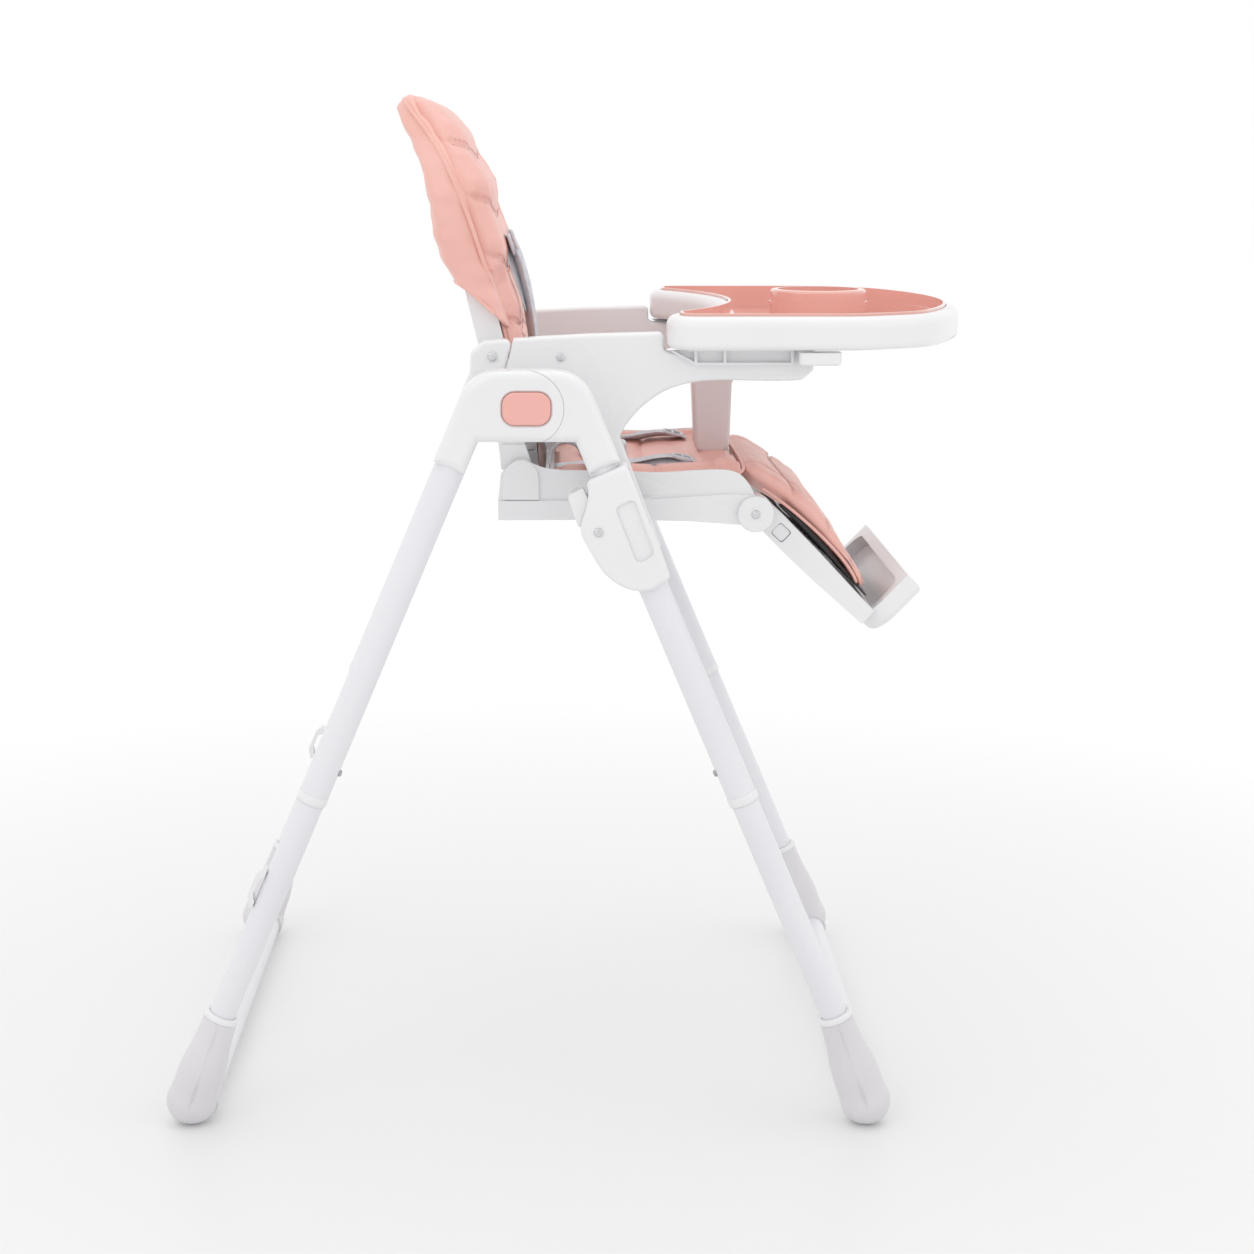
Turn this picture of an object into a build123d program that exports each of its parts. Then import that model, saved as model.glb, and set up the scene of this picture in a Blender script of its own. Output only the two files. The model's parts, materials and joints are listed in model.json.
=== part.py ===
"""Folding baby high chair: A-frame legs, height sliders, reclining seat, leg rest and tray.

Millimetres. +Z is up, the child faces -Y, +X is the child's left. The origin is on the floor,
under the middle of the chair's bounding box. Left and right pieces are mirror images, so each
is drawn on the +X side and mirrored.
"""
import os
from math import cos, radians, sin

from build123d import *

os.makedirs("parts", exist_ok=True)

# Driving dimensions -------------------------------------------------------------------------
LEG_X = 289.0            # distance of each leg's plane from the middle of the chair
LEG_ANGLE = 23.0         # lean of every leg from the vertical
AXIS_Y = 43.0            # the A-frame is symmetric about this plane
APEX_Z = 858.0           # height where the axes of a front and a rear leg would cross
HINGE_Z = 742.0          # height of the fold hinge
TUBE_R = 15.0            # upper leg tubes
LOWER_TUBE_R = 13.9      # lower leg tubes, which plug into the upper ones
BAR_R = 13.5             # floor bars between the feet
WALL = 1.1               # tube wall
SEAM_T = 550.0           # seam between upper and lower tube, along the leg from the apex
ELBOW_HALF = 20.0        # half the thickness of the fold elbows
DISC_R = 36.0            # hinge disc of the elbows
GAP = 0.3                # running gap between moving faces
SEAT_HALF = 183.0        # half the width of the seat shell
ARM_IN = 195.0           # inner face of the armrests
ARM_OUT = 217.0          # outer face of the armrests
SEAT_PIVOT = (50.0, 658.0)      # backrest pivot, as (Y, Z)
REST_PIVOT = (-190.0, 621.0)    # leg rest pivot, as (Y, Z)
REST_ANGLE = 43.5        # slope of the leg rest below the horizontal
TRAY_FLOOR = 793.0       # underside of the tray's rim
TRAY_RIM = 826.0         # top of the tray's rim

SIN = sin(radians(LEG_ANGLE))
COS = cos(radians(LEG_ANGLE))


# Planes and helpers -------------------------------------------------------------------------
def side(x=0.0):
    """The side view at x: local x is Y, local y is Z, and it faces +X."""
    return Plane.YZ.offset(x)


def front_leg(x=LEG_X):
    """Side view along a front leg: local x runs down the leg, local y points outward."""
    return Plane(origin=(x, AXIS_Y, APEX_Z), x_dir=(0, -SIN, -COS), z_dir=(-1, 0, 0))


def rear_leg(x=LEG_X):
    """Side view along a rear leg: local x runs down the leg, local y points outward."""
    return Plane(origin=(x, AXIS_Y, APEX_Z), x_dir=(0, SIN, -COS), z_dir=(1, 0, 0))


def across(leg, t):
    """The plane across a leg, at the distance t from the apex."""
    return Plane(origin=leg.from_local_coords((t, 0, 0)), x_dir=(1, 0, 0), z_dir=leg.x_dir)


def save(part, name):
    """Label a finished piece and write it."""
    part.label = name
    export_step(part, f"parts/{name}.step")


def save_pair(part, name):
    """Write a piece for the left (+X) side and its mirror image for the right."""
    save(part, f"{name}_left")
    save(mirror(part, about=Plane.YZ), f"{name}_right")


def save_both(part, name):
    """Write a small piece and its mirror image as two solids in one node."""
    save(Compound(children=part.solids() + mirror(part, about=Plane.YZ).solids()), name)


def disc(x_from, x_to, radius, centre):
    """A plain disc across X, between two planes, around a (Y, Z) centre."""
    with BuildPart() as piece:
        with BuildSketch(side(x_from)):
            with Locations(centre):
                Circle(radius)
        extrude(amount=x_to - x_from)
    return piece.part


def prism(x_from, x_to, points):
    """A straight-sided piece across X with a (Y, Z) outline."""
    with BuildPart() as piece:
        with BuildSketch(side(x_from)):
            with BuildLine():
                Polyline(*points, close=True)
            make_face()
        extrude(amount=x_to - x_from)
    return piece.part


def rod(leg, radius, start, end):
    """A solid rod along a leg, used to cut bores."""
    with BuildPart() as piece:
        with BuildSketch(across(leg, start)):
            Circle(radius)
        extrude(amount=end - start)
    return piece.part


def dome_screw(x, centre, radius, length):
    """A domed screw head outside the plane x, with its shank running inward."""
    with BuildPart() as screw:
        with BuildSketch(side(x)):
            with Locations(centre):
                Circle(radius)
        extrude(amount=0.45 * radius)
        fillet(screw.edges().sort_by(Axis.X)[-1], 0.4 * radius)
        with BuildSketch(side(x)):
            with Locations(centre):
                Circle(0.45 * radius)
        extrude(amount=-length)
    return screw.part


def tube(leg, radius, start, end):
    """A leg tube with an open bore, between two distances along the leg."""
    with BuildPart() as piece:
        with BuildSketch(across(leg, start)):
            Circle(radius)
            Circle(radius - WALL, mode=Mode.SUBTRACT)
        extrude(amount=end - start)
    return piece.part


# A-frame ------------------------------------------------------------------------------------
HINGE = (AXIS_Y, HINGE_Z)
INNER_X = LEG_X - ELBOW_HALF
OUTER_X = LEG_X + ELBOW_HALF
TUBE_TOP_T = 142.0       # upper end of the leg tubes, inside the elbows
BUTTON = (47.0, 32.0)    # fold button, width and height
BUTTON_FLOOR = 297.0     # bottom of the button's pocket
STOP_R = 23.0            # radius of the fold stop's slot around the hinge
FOLD = 44.0              # degrees from open to folded
STOP_ANGLE = 112.0       # where the fold stop pin sits with the legs open


def elbow_blank():
    """Both arms of a fold elbow as one rounded blank, before it is split at the hinge."""
    with BuildPart() as blank:
        with BuildSketch(side(INNER_X)) as outline:
            with BuildLine():
                Polyline((-91, 690.5), (-54, 778), (54, 778), (91, 690.5), (61, 677.5),
                         (47.6, 709), (-47.6, 709), (-61, 677.5), close=True)
            make_face()
            corners = outline.vertices().group_by(Axis.Y)
            fillet(corners[-1], 42)
            fillet(corners[2], 30)
        extrude(amount=2 * ELBOW_HALF)
        fillet([edge for face in blank.faces().filter_by(Axis.X) for edge in face.edges()], 9)
    return blank.part.moved(Location((0, AXIS_Y, 0)))


def stop_slot():
    """The arc that the fold stop pin runs in, a little longer than the fold."""
    start = STOP_ANGLE - FOLD - 12
    with BuildPart() as slot:
        with BuildSketch(side(INNER_X + 5)):
            with BuildLine():
                wide = CenterArc(HINGE, STOP_R + 4.4, start, FOLD + 24)
                narrow = CenterArc(HINGE, STOP_R - 4.4, start, FOLD + 24)
                Line(wide @ 0, narrow @ 0)
                Line(wide @ 1, narrow @ 1)
            make_face()
        extrude(amount=ELBOW_HALF)
    return slot.part


def button_prism(x_from, x_to, grow):
    """The fold button's rounded outline across X, grown by a margin."""
    with BuildPart() as piece:
        with BuildSketch(side(x_from)):
            with Locations(HINGE):
                RectangleRounded(BUTTON[0] + 2 * grow, BUTTON[1] + 2 * grow, 12.5 + grow)
        extrude(amount=x_to - x_from)
    return piece.part


def elbows():
    """The front elbow carries the inner hinge disc, the rear elbow the outer one."""
    blank = elbow_blank()
    plane = Plane.XZ.offset(-AXIS_Y)
    inner = disc(INNER_X - 1, LEG_X - GAP / 2, DISC_R, HINGE)
    outer = disc(LEG_X + GAP / 2, OUTER_X + 1, DISC_R, HINGE)
    with BuildPart() as front:
        add(blank)
        split(bisect_by=plane, keep=Keep.TOP)
        add(disc(LEG_X - GAP / 2, OUTER_X + 1, DISC_R + GAP, HINGE), mode=Mode.SUBTRACT)
        add(blank & inner)
        add(rod(front_leg(), TUBE_R + 0.05, TUBE_TOP_T - 1, 200), mode=Mode.SUBTRACT)
        add(stop_slot(), mode=Mode.SUBTRACT)
        add(disc(INNER_X - 1, LEG_X, 6.05, HINGE), mode=Mode.SUBTRACT)
        add(disc(INNER_X - 1, INNER_X + 4, 10.0, HINGE), mode=Mode.SUBTRACT)
    save_pair(front.part, "front_elbow")
    with BuildPart() as rear:
        add(blank)
        split(bisect_by=plane, keep=Keep.BOTTOM)
        add(disc(INNER_X - 1, LEG_X + GAP / 2, DISC_R + GAP, HINGE), mode=Mode.SUBTRACT)
        add(blank & outer)
        add(rod(rear_leg(), TUBE_R + 0.05, TUBE_TOP_T - 1, 200), mode=Mode.SUBTRACT)
        add(button_prism(BUTTON_FLOOR, OUTER_X + 1, 0.4), mode=Mode.SUBTRACT)
        mouth = rear.edges().filter_by(lambda e: e.center().X > OUTER_X - 0.1
                                       and (e.center() - Vector(OUTER_X, *HINGE)).length < 26)
        chamfer(mouth, 1.6)
        add(disc(LEG_X, BUTTON_FLOOR + 1, 6.05, HINGE), mode=Mode.SUBTRACT)
        add(disc(LEG_X, 296, 4.0, stop_pin_centre()), mode=Mode.SUBTRACT)
    save_pair(rear.part, "rear_elbow")


def stop_pin_centre():
    """The fold stop pin's place with the legs open."""
    angle = radians(STOP_ANGLE)
    return (AXIS_Y + STOP_R * cos(angle), HINGE_Z + STOP_R * sin(angle))


def hinge_pieces():
    """Bolt, stop pin, button and its wave spring, all inside the elbow."""
    with BuildPart() as bolt:
        add(disc(INNER_X + 3.5, BUTTON_FLOOR + GAP, 6.0, HINGE))
        add(disc(BUTTON_FLOOR + GAP, BUTTON_FLOOR + 3.2, 10.0, HINGE))
        add(disc(INNER_X + 0.5, INNER_X + 3.5, 9.5, HINGE))
    save_both(bolt.part, "hinge_bolts")
    save_both(disc(INNER_X + 6, 296, 4.0, stop_pin_centre()), "fold_stop_pins")
    with BuildPart() as button:
        add(button_prism(305, 310.8, 0))
        fillet(button.faces().sort_by(Axis.X)[-1].edges(), 2.4)
    save_pair(button.part, "fold_button")
    with BuildPart() as spring:
        with BuildSketch(side(BUTTON_FLOOR + 0.1)):
            with Locations(HINGE):
                Circle(14.5)
                Circle(11.5, mode=Mode.SUBTRACT)
        extrude(amount=1.6)
    save_both(spring.part, "button_springs")


RIM_T = 806.0            # top of the feet, along the leg
TUBE_END_T = 880.0       # lower end of the leg tubes, inside the feet
FOOT_LENGTH = 97.5       # from a foot's rim to the centre of its round end
FOOT_TOE_IN = 3.0        # degrees that a foot leans inward from its leg
FOOT_R = 26.0
PAD_Z = 5.0              # height of the rubber sole
FRONT_BAR = (-312.0, 17.0)      # axis of the front floor bar, as (Y, Z)
REAR_BAR = (381.0, 20.0)        # axis of the rear floor bar


def foot_view(leg):
    """Side view along a foot: local x runs down from its rim, local y points outward."""
    lean = radians(FOOT_TOE_IN)
    along = leg.x_dir * cos(lean) - leg.y_dir * sin(lean)
    return Plane(origin=leg.from_local_coords((RIM_T, 0, 0)), x_dir=along, z_dir=leg.z_dir)


def legs(leg, name, bar):
    """Tubes, foot, sole, snap button and floor bar of the front or the rear pair."""
    save_both(tube(leg, TUBE_R, TUBE_TOP_T, SEAM_T), f"{name}_upper_tubes")
    save_both(tube(leg, LOWER_TUBE_R - 0.1, SEAM_T - 70, TUBE_END_T), f"{name}_lower_tubes")

    view = foot_view(leg)
    floor_spot = (LEG_X, view.from_local_coords((FOOT_LENGTH, 0, 0)).Y, PAD_Z)
    with BuildPart() as bulb:
        with BuildSketch(view):
            with BuildLine():
                rim = Line((0, 0), (0, 17.8))
                lip = Line(rim @ 1, (5, 17.8))
                end = CenterArc((FOOT_LENGTH, 0), FOOT_R, 0, 100)
                Spline(lip @ 1, (32, 19.8), (62, 24.0), end @ 1, tangents=((1, 0), -(end % 1)))
                Line(end @ 0, rim @ 0)
            make_face()
        revolve(axis=Axis(view.origin, view.x_dir))
    socket = disc(LEG_X - 26, LEG_X, 16.3, bar)
    with BuildPart() as sole:
        add(bulb.part)
        with Locations(floor_spot):
            Box(90, 90, PAD_Z, align=(Align.CENTER, Align.CENTER, Align.MAX),
                mode=Mode.INTERSECT)
        add(socket, mode=Mode.SUBTRACT)
    save_both(sole.part, f"{name}_foot_soles")
    with BuildPart() as foot:
        add(bulb.part)
        with Locations(floor_spot):
            Box(90, 90, 60, align=(Align.CENTER, Align.CENTER, Align.MAX), mode=Mode.SUBTRACT)
        add(socket)
        add(rod(leg, LOWER_TUBE_R, RIM_T - 6, TUBE_END_T + 0.5), mode=Mode.SUBTRACT)
        add(disc(LEG_X - 30, LEG_X - 13, BAR_R + 0.05, bar), mode=Mode.SUBTRACT)
    save_pair(foot.part, f"{name}_foot")

    with BuildPart() as floor_bar:
        with BuildSketch(side(-LEG_X + 13.5)):
            with Locations(bar):
                Circle(BAR_R)
                Circle(BAR_R - WALL, mode=Mode.SUBTRACT)
        extrude(amount=2 * (LEG_X - 13.5))
    save(floor_bar.part, f"{name}_floor_bar")


def snap_button(leg):
    """The sprung stud that locks a lower tube in an upper one, on the inner side of the leg."""
    start = Plane(origin=leg.from_local_coords((519.5, -TUBE_R, 0)), x_dir=(1, 0, 0),
                  z_dir=-leg.y_dir)
    with BuildPart() as stud:
        with BuildSketch(start):
            Circle(3.6)
        extrude(amount=2.8)
        fillet(stud.faces().sort_by(Axis(start.origin, start.z_dir))[-1].edges(), 2.2)
    return stud.part


def tray_hook():
    """The hook on the back of a rear leg that stores the tray."""
    leg = rear_leg()
    with BuildPart() as hook:
        with BuildSketch(rear_leg(LEG_X - 8)):
            with BuildLine():
                Polyline((641, 14.2), (641, 19), (648, 23), (672, 23), (683, 17), (683, 14.2),
                         (676, 14.2), (670, 18.5), (652, 18.5), (648, 14.2), close=True)
            make_face()
        extrude(amount=16)
        add(rod(leg, LOWER_TUBE_R, 600, 720), mode=Mode.SUBTRACT)
    return hook.part


# Height sliders -----------------------------------------------------------------------------
SLIDER_OUT = 311.0       # outer face of the sliders
SLIDER_IN = 267.0        # inner face of the sliders
SLIDER_BORE = TUBE_R + GAP
LEVER_HALF = 12.0        # half the thickness of a height lever
LEVER_PIN = (244.6, -27.8)      # lever pivot, along and across the leg


def slider_blank(x_out, x_in):
    """The slider's outline between two planes, with the tube bore and the lever's cavity."""
    with BuildPart() as blank:
        with BuildSketch(front_leg(x_out)):
            with BuildLine():
                top = Line((194, -20), (194, 23))
                front = Line(top @ 1, (314, 19.5))
                foot = Line(front @ 1, (318, -1))
                Spline(foot @ 1, (309, -22), (286, -38), (254, -43.5), (237, -43.5), (221, -32),
                       (207, -23), top @ 0)
            make_face()
        extrude(amount=x_out - x_in)
        fillet(blank.edges().filter_by(Axis.X), 6)
    return blank.part


def lever_cavity():
    """Room for the height lever to swing."""
    with BuildPart() as cavity:
        with BuildSketch(front_leg(LEG_X + LEVER_HALF + 0.5)):
            with BuildLine():
                Polyline((190, -17.4), (190, -60), (235, -60), (237, -41.3), (255, -41),
                         (284, -35.5), (288, -28), (288, -17.4), close=True)
            make_face()
        extrude(amount=2 * LEVER_HALF + 1)
    return cavity.part


def sliders():
    """Two half shells round each front leg; the inner one reaches in to the seat."""
    leg = front_leg()
    bore = rod(leg, SLIDER_BORE, 180, 330)
    pin_centre = leg.from_local_coords((*LEVER_PIN, 0))
    pin = (pin_centre.Y, pin_centre.Z)
    with BuildPart() as outer:
        add(slider_blank(SLIDER_OUT, LEG_X))
        fillet(outer.faces().sort_by(Axis.X)[-1].edges(), 4)
        with BuildSketch(front_leg(SLIDER_OUT)):
            with BuildLine():
                Polyline((228, -4), (227, 17), (286, 14.5), (289, -5.5), close=True)
            window = make_face()
            fillet(window.vertices(), 6)
        extrude(amount=3.2, mode=Mode.SUBTRACT)
        add(bore, mode=Mode.SUBTRACT)
        add(lever_cavity(), mode=Mode.SUBTRACT)
        add(disc(LEG_X, SLIDER_OUT, 3.0, pin), mode=Mode.SUBTRACT)
    save_pair(outer.part, "slider_outer")
    with BuildPart() as inner:
        add(slider_blank(LEG_X, SLIDER_IN))
        fillet(inner.faces().sort_by(Axis.X)[0].edges(), 4)
        with BuildSketch(front_leg(SLIDER_IN + 5)):
            with Locations((252, 2)):
                RectangleRounded(96, 28, 6)
        extrude(amount=SLIDER_IN + 5 - ARM_OUT)
        add(bore, mode=Mode.SUBTRACT)
        add(lever_cavity(), mode=Mode.SUBTRACT)
        add(disc(SLIDER_IN + 3, LEG_X, 3.0, pin), mode=Mode.SUBTRACT)
    save_pair(inner.part, "slider_inner")
    with BuildPart() as lever:
        with BuildSketch(front_leg(LEG_X + LEVER_HALF)):
            with BuildLine():
                Polyline((200, -25.5), (200.5, -38), (204, -42.5), (232, -44.5), (242, -38),
                         (270, -36), (280, -30), (280, -24), (262, -20.5), (240, -20.5),
                         (222, -24.5), close=True)
            make_face()
        extrude(amount=2 * LEVER_HALF)
        fillet(lever.edges().filter_by(Axis.X).sort_by(Axis.Z)[-3:], 2)
        add(disc(LEG_X - 20, LEG_X + 20, 3.05, pin), mode=Mode.SUBTRACT)
    save_pair(lever.part, "height_lever")
    save_both(dome_screw(SLIDER_OUT, pin, 4.6, SLIDER_OUT - SLIDER_IN - 3), "slider_screws")


# Seat ---------------------------------------------------------------------------------------
DECK_Z = 641.0           # top of the seat's deck
CAP_SCREW = (78.0, 784.0)       # screws on the outside of the armrests, as (Y, Z)
ARM_SCREW = (10.0, 783.5)


def leg_point(t, b):
    """A point beside a front leg, along and across it, as (Y, Z)."""
    point = front_leg().from_local_coords((t, b, 0))
    return (point.Y, point.Z)


def armrests():
    """Armrest with the post that joins it to the slider, and its separate rear cap."""
    seam = ((70.0, 750.0), (66.5, 766.0), (57.0, 802.0))
    with BuildPart() as arm:
        with BuildSketch(side(ARM_IN)) as outline:
            with BuildLine():
                belly = Spline((-232, 761), (-150, 760.5), (-100, 752), (-66, 728),
                               leg_point(178, 25))
                Polyline(belly @ 1, leg_point(300, 21), leg_point(300, -14),
                         leg_point(140, -14), (16, 750), *seam, (-20, 806), (-93.5, 808),
                         (-93.5, 789), (-243, 787.5), (-243, 770), belly @ 0)
            make_face()
            corners = [v for v in outline.vertices() if v.X < 50 or v.Y < 740]
            fillet([v for v in corners if abs(v.X - (belly @ 1).X) > 1], 6)
        extrude(amount=ARM_OUT - ARM_IN)
        fillet([edge for face in arm.faces().filter_by(Axis.X) for edge in face.edges()], 4)
        add(disc(ARM_OUT - 14, ARM_OUT, 0.45 * 4.4, ARM_SCREW), mode=Mode.SUBTRACT)
    save_pair(arm.part, "armrest")
    with BuildPart() as cap:
        with BuildSketch(side(ARM_IN)) as outline:
            with BuildLine():
                Polyline((57.5, 802), (88, 799), (100, 788), (101, 768), (96, 757), (70.5, 750),
                         (67, 766), close=True)
            make_face()
            fillet(outline.vertices().sort_by(Axis.Y)[-4:], 7)
        extrude(amount=ARM_OUT - ARM_IN)
        rims = [e for f in cap.faces().filter_by(Axis.X) for e in f.edges()]
        fillet([e for e in rims if e.center().Z > 765 and e.center().Y > 63], 4)
        add(disc(ARM_OUT - 14, ARM_OUT, 0.45 * 5, CAP_SCREW), mode=Mode.SUBTRACT)
    save_both(cap.part, "armrest_caps")
    with BuildPart() as screws:
        add(dome_screw(ARM_OUT, CAP_SCREW, 5, 14))
        add(dome_screw(ARM_OUT, ARM_SCREW, 4.4, 14))
    save_both(screws.part, "armrest_screws")


def seat_shell():
    """Moulded seat: side walls, a deck, a ribbed underside and lugs for the leg rest."""
    lug = disc(SEAT_HALF - 11, SEAT_HALF, 19, REST_PIVOT)
    with BuildPart() as shell:
        with BuildSketch(side(-SEAT_HALF)) as outline:
            with BuildLine():
                rear = Polyline((-60, 614.5), (74, 614), (74, 634), (71, 662), (60, 672))
                wall = Spline(rear @ 1, (48, 676), (34, 670), (12, 665.5), (-30, 665),
                              (-95, 663), (-150, 666), (-172, 662), (-184, 650), (-189, 640))
                Polyline(wall @ 1, (-189, 610), (-171, 609.5), (-123, 613), (-60, 614.5))
            make_face()
        extrude(amount=2 * SEAT_HALF)
        with BuildSketch(side(SEAT_HALF)):
            with BuildLine():
                Polyline((74, 614), (74, 634), (-72, 635), (-160, 641), (-190, 640),
                         (-190, 609), (-171, 609.5), (-123, 613), (-60, 614.5), close=True)
            make_face()
        extrude(amount=2.5)
        add(lug)
        add(prism(SEAT_HALF, ARM_IN, ((-58, 616), (-58, 638), (-82, 638), (-82, 616))))
        mirror(about=Plane.YZ)
        half = SEAT_HALF - 5
        add(prism(-half, half, ((90, DECK_Z), (-157, DECK_Z), (-157, 648), (-230, 648),
                                (-230, 700), (90, 700))), mode=Mode.SUBTRACT)
        add(prism(-half, half, ((68, 600), (68, DECK_Z - 4), (-164, DECK_Z - 4), (-164, 600))),
            mode=Mode.SUBTRACT)
        add(prism(-172, 172, ((-172, 590), (-172, 700), (-230, 700), (-230, 590))),
            mode=Mode.SUBTRACT)
        for x in (-1, 1):
            add(disc(x * 150, x * 190, 6.0, SEAT_PIVOT), mode=Mode.SUBTRACT)
            add(disc(x * 150, x * 190, 6.0, REST_PIVOT), mode=Mode.SUBTRACT)
        for y in (-110, -55, 0):
            add(prism(-half, half, ((y, 618), (y, DECK_Z), (y + 3, DECK_Z), (y + 3, 618))))
    save(shell.part, "seat_shell")


def seat_fittings():
    """Pivot covers and pins, leg rest caps and their screws."""
    with BuildPart() as cover:
        with BuildSketch(side(SEAT_HALF + 0.02)):
            with BuildLine():
                left = Line((31.5, 635), (32, 658))
                arch = ThreePointArc(left @ 1, (50.3, 675), (68, 658))
                right = Line(arch @ 1, (69, 635))
                Line(right @ 1, left @ 0)
            make_face()
        extrude(amount=3.5)
        fillet(cover.faces().sort_by(Axis.X)[-1].edges(), 1.5)
    save_both(cover.part, "recline_pivot_covers")
    save_both(disc(162, SEAT_HALF, 6.0, SEAT_PIVOT), "backrest_pins")
    with BuildPart() as cap:
        add(disc(SEAT_HALF + 2.55, SEAT_HALF + 9, 18.6, REST_PIVOT))
        fillet(cap.edges().sort_by(Axis.X)[-1], 1.6)
    save_both(cap.part, "leg_rest_caps")
    save_both(dome_screw(SEAT_HALF + 9.02, REST_PIVOT, 4.6, 0.01), "leg_rest_screws")
    save_both(disc(146, SEAT_HALF + 2.5, 6.0, REST_PIVOT), "leg_rest_pins")


def seat_pad():
    """Soft seat pad, resting on the deck, with its front edge over the seat's front."""
    with BuildPart() as pad:
        with BuildSketch(side(-176)):
            with BuildLine():
                base = Polyline((-100, 657), (24, 657), (24, DECK_Z + 0.2), (-156, DECK_Z + 0.2),
                                (-156, 648.3), (-173, 648.3), (-199, 662))
                Spline(base @ 1, (-192, 670), (-172, 668), (-140, 659), base @ 0,
                       tangents=((0.5, 1), (1, 0)))
            make_face()
        extrude(amount=352)
        add(prism(-24, 24, ((30, 656.4), (-230, 656.4), (-230, 690), (30, 690))),
            mode=Mode.SUBTRACT)
    save(pad.part, "seat_pad")


def harness():
    """Waist straps, their slides and the buckle, lying on the seat pad."""
    with BuildPart() as straps:
        add(prism(96, 121, ((20, 657.6), (20, 659.4), (-108, 659.4), (-108, 657.6))))
    save_both(straps.part, "waist_straps")
    with BuildPart() as slide:
        with BuildSketch(Plane.XY.offset(659.6)):
            with Locations((108.5, -117)):
                RectangleRounded(36, 26, 4)
                RectangleRounded(27, 5, 2, mode=Mode.SUBTRACT)
        extrude(amount=3)
    save_both(slide.part, "strap_slides")
    with BuildPart() as buckle:
        with BuildSketch(Plane.XY.offset(660)):
            with Locations((0, -38)):
                RectangleRounded(44, 50, 9)
        extrude(amount=13)
        fillet(buckle.faces().sort_by(Axis.Z)[-1].edges(), 4)
    save(buckle.part, "harness_buckle")


# Backrest -----------------------------------------------------------------------------------
BACK_FRONT = ((44, 664), (53, 730), (67, 794), (76, 830), (84, 866), (92, 905), (104, 950),
              (119, 983), (139, 1012), (160, 1034), (172, 1044))


HANDLE = (97.0, 835.0)   # recline handle, as (Y of its inner face, Z of its middle)


def back_slab(x_half, front_in, thickness):
    """The curved side view of the back, as a slab of a given thickness behind its front."""
    with BuildPart() as slab:
        with BuildSketch(side(-x_half)):
            with BuildLine():
                near = Spline(*[(y + front_in, z) for y, z in BACK_FRONT])
                far = Spline(*[(y + front_in + thickness, z) for y, z in BACK_FRONT])
                Line(near @ 0, far @ 0)
                Line(near @ 1, far @ 1)
            make_face()
        extrude(amount=2 * x_half)
    return slab.part


def back_outline(half, low, top, corner):
    """The front view of the back, round at the top, as a deep prism along Y."""
    with BuildPart() as prism_y:
        with BuildSketch(Plane.XZ.offset(-250)) as outline:
            with Locations((0, low)):
                Rectangle(2 * half, top - low, align=(Align.CENTER, Align.MIN))
            fillet(outline.vertices().group_by(Axis.Y)[-1], corner)
        extrude(amount=300)
    return prism_y.part


def handle_block(depth, grow=0.0, rise=0.0):
    """The recline handle's place in the shell, grown by a gap and by room to rise."""
    with BuildPart() as block:
        with BuildSketch(Plane.XZ.offset(-HANDLE[0])):
            with Locations((0, HANDLE[1] + rise / 2)):
                RectangleRounded(90 + 2 * grow, 26 + 2 * grow + rise, 6)
        extrude(amount=-depth)
    return block.part


def backrest():
    """Moulded back shell with its pivot lugs, and the padded cover that wraps its top."""
    with BuildPart() as shell:
        add(back_slab(200, 0, 27) & back_outline(168, 664, 1008, 92))
        add(back_slab(200, -8, 31) & back_outline(162, 640, 1002, 87), mode=Mode.SUBTRACT)
        for x in (-1, 1):
            add(disc(x * 163, x * 173, 16.0, SEAT_PIVOT))
            add(prism(x * 163, x * 173, ((39, 668), (46, 690), (70, 690), (65, 662))))
            add(disc(x * 150, x * 190, 6.05, SEAT_PIVOT), mode=Mode.SUBTRACT)
        add(handle_block(40, 0.4, 9), mode=Mode.SUBTRACT)
    save(shell.part, "back_shell")
    save(handle_block(7), "recline_handle")
    with BuildPart() as pad:
        add(back_slab(200, -14, 13.6) & back_outline(160, 692, 900, 20))
        add(back_slab(200, -14, 56) & back_outline(182, 858, 1060, 118))
        add(back_slab(200, -0.4, 28) & back_outline(168.5, 600, 1009, 92.5),
            mode=Mode.SUBTRACT)
    save(pad.part, "back_pad")


def shoulder_straps():
    """Shoulder straps hanging in front of the back pad, and their slides."""
    with BuildPart() as straps:
        add(prism(58, 83, ((70, 903), (60, 884), (46, 840), (38, 790), (32, 700), (30, 700),
                           (36, 790), (44, 840), (58, 884), (68, 903))))
    save_both(straps.part, "shoulder_straps")


# Leg rest -----------------------------------------------------------------------------------
REST_HALF = 165.0        # outer faces of the leg rest's arms
ARM_WIDTH = 22.0
PLATE_U = (164.0, 187.0)        # foot plate, along the leg rest from its pivot


def rest_view(x=0.0):
    """Side view along the leg rest: local x runs down it, local y points up and forward."""
    angle = radians(REST_ANGLE)
    return Plane(origin=(x, *REST_PIVOT), x_dir=(0, -cos(angle), -sin(angle)), z_dir=(-1, 0, 0))


def rest_window(x, grow, depth):
    """The window in an arm where the leg rest's release button sits."""
    with BuildPart() as window:
        with BuildSketch(rest_view(x)):
            with Locations((37, 3)):
                RectangleRounded(15 + 2 * grow, 14 + 2 * grow, 3)
        extrude(amount=depth)
    return window.part


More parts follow.
